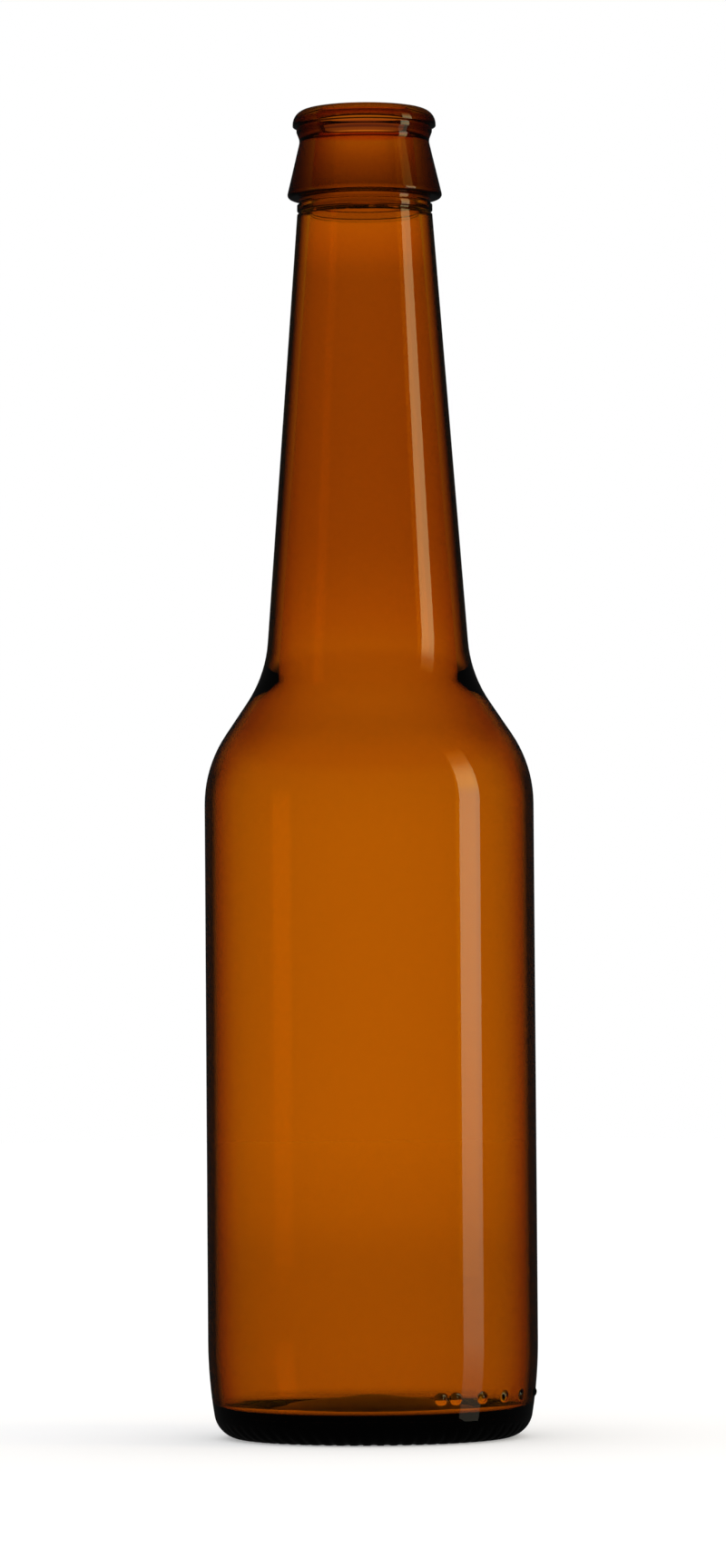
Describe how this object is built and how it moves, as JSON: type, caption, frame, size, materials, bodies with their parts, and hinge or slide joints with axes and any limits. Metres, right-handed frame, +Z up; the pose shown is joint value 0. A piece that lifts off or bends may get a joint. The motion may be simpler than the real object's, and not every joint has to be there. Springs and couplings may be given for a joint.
{
  "type": "longneck bottle",
  "caption": "Empty amber glass longneck bottle with a straight body, sloped shoulder, long tapering neck, collar and crown-cap mouth.",
  "frame": {"origin": "centre of the ring that the bottle stands on, in the plane of the table", "axes": "+Z up the bottle's axis to the mouth, -Y to the front, +X to the right seen from the front"},
  "size_m": [0.0608, 0.0608, 0.2458],
  "materials": {
    "amber_glass": "clear amber container glass, fire polished"
  },
  "bodies": {
    "root": {"bottle": "amber_glass"}
  },
  "joints": []
}
